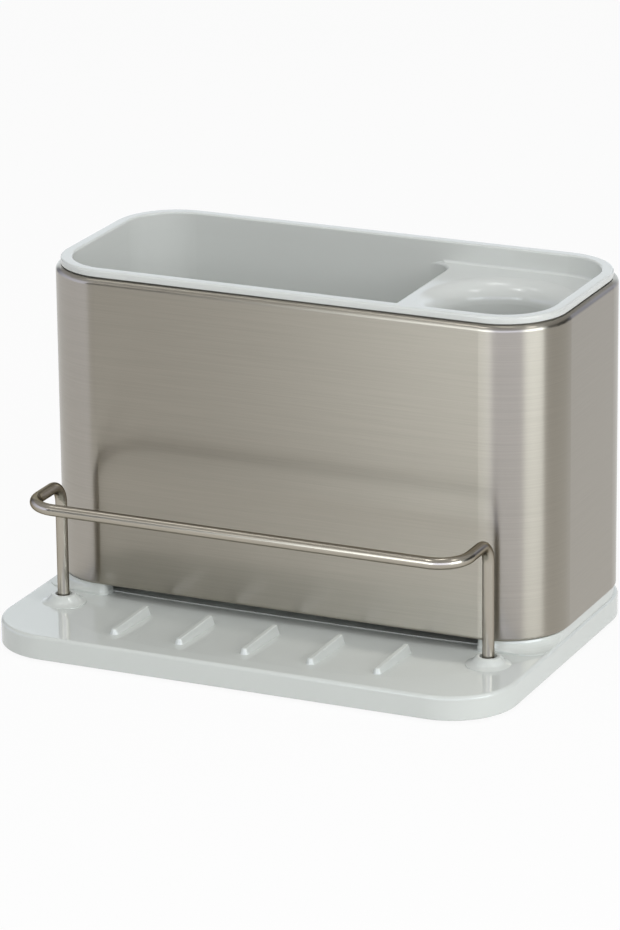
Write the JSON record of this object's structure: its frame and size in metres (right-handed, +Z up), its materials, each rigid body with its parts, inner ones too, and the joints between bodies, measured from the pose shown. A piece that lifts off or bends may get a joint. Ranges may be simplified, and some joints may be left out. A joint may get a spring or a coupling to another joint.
{
  "type": "kitchen sink caddy",
  "caption": "Sink caddy: brushed steel sleeve on a glossy drip tray with a wire rail at the front, and a lift-out liner with a bin and a round brush cup.",
  "frame": {"origin": "on the worktop, under the middle of the drip tray, at the level of the feet's undersides", "axes": "+X to the right along the length, +Y to the back, +Z up; the apron and the rail are at -Y"},
  "size_m": [0.205, 0.146, 0.136],
  "materials": {
    "tray_plastic": "glossy moulded, cool light grey",
    "sleeve_steel": "brushed along its length, satin",
    "liner_plastic": "satin moulded, cool light grey",
    "rail_steel": "drawn wire, satin polish",
    "foot_rubber": "matte"
  },
  "bodies": {
    "tray": {"base_tray": "tray_plastic", "foot_front_left": "foot_rubber", "foot_front_right": "foot_rubber", "foot_rear_left": "foot_rubber", "foot_rear_right": "foot_rubber"},
    "sleeve": {"steel_sleeve": "sleeve_steel"},
    "liner": {"inner_liner": "liner_plastic"},
    "rail": {"wire_rail": "rail_steel"}
  },
  "joints": [
    {"name": "sleeve_lift", "type": "slide", "parent": "tray", "child": "sleeve", "axis": [0, 0, 1], "range_m": [0, 0.15]},
    {"name": "liner_lift", "type": "slide", "parent": "sleeve", "child": "liner", "axis": [0, 0, 1], "range_m": [0, 0.13]},
    {"name": "rail_lift", "type": "slide", "parent": "tray", "child": "rail", "axis": [0, 0, 1], "range_m": [0, 0.06]}
  ]
}
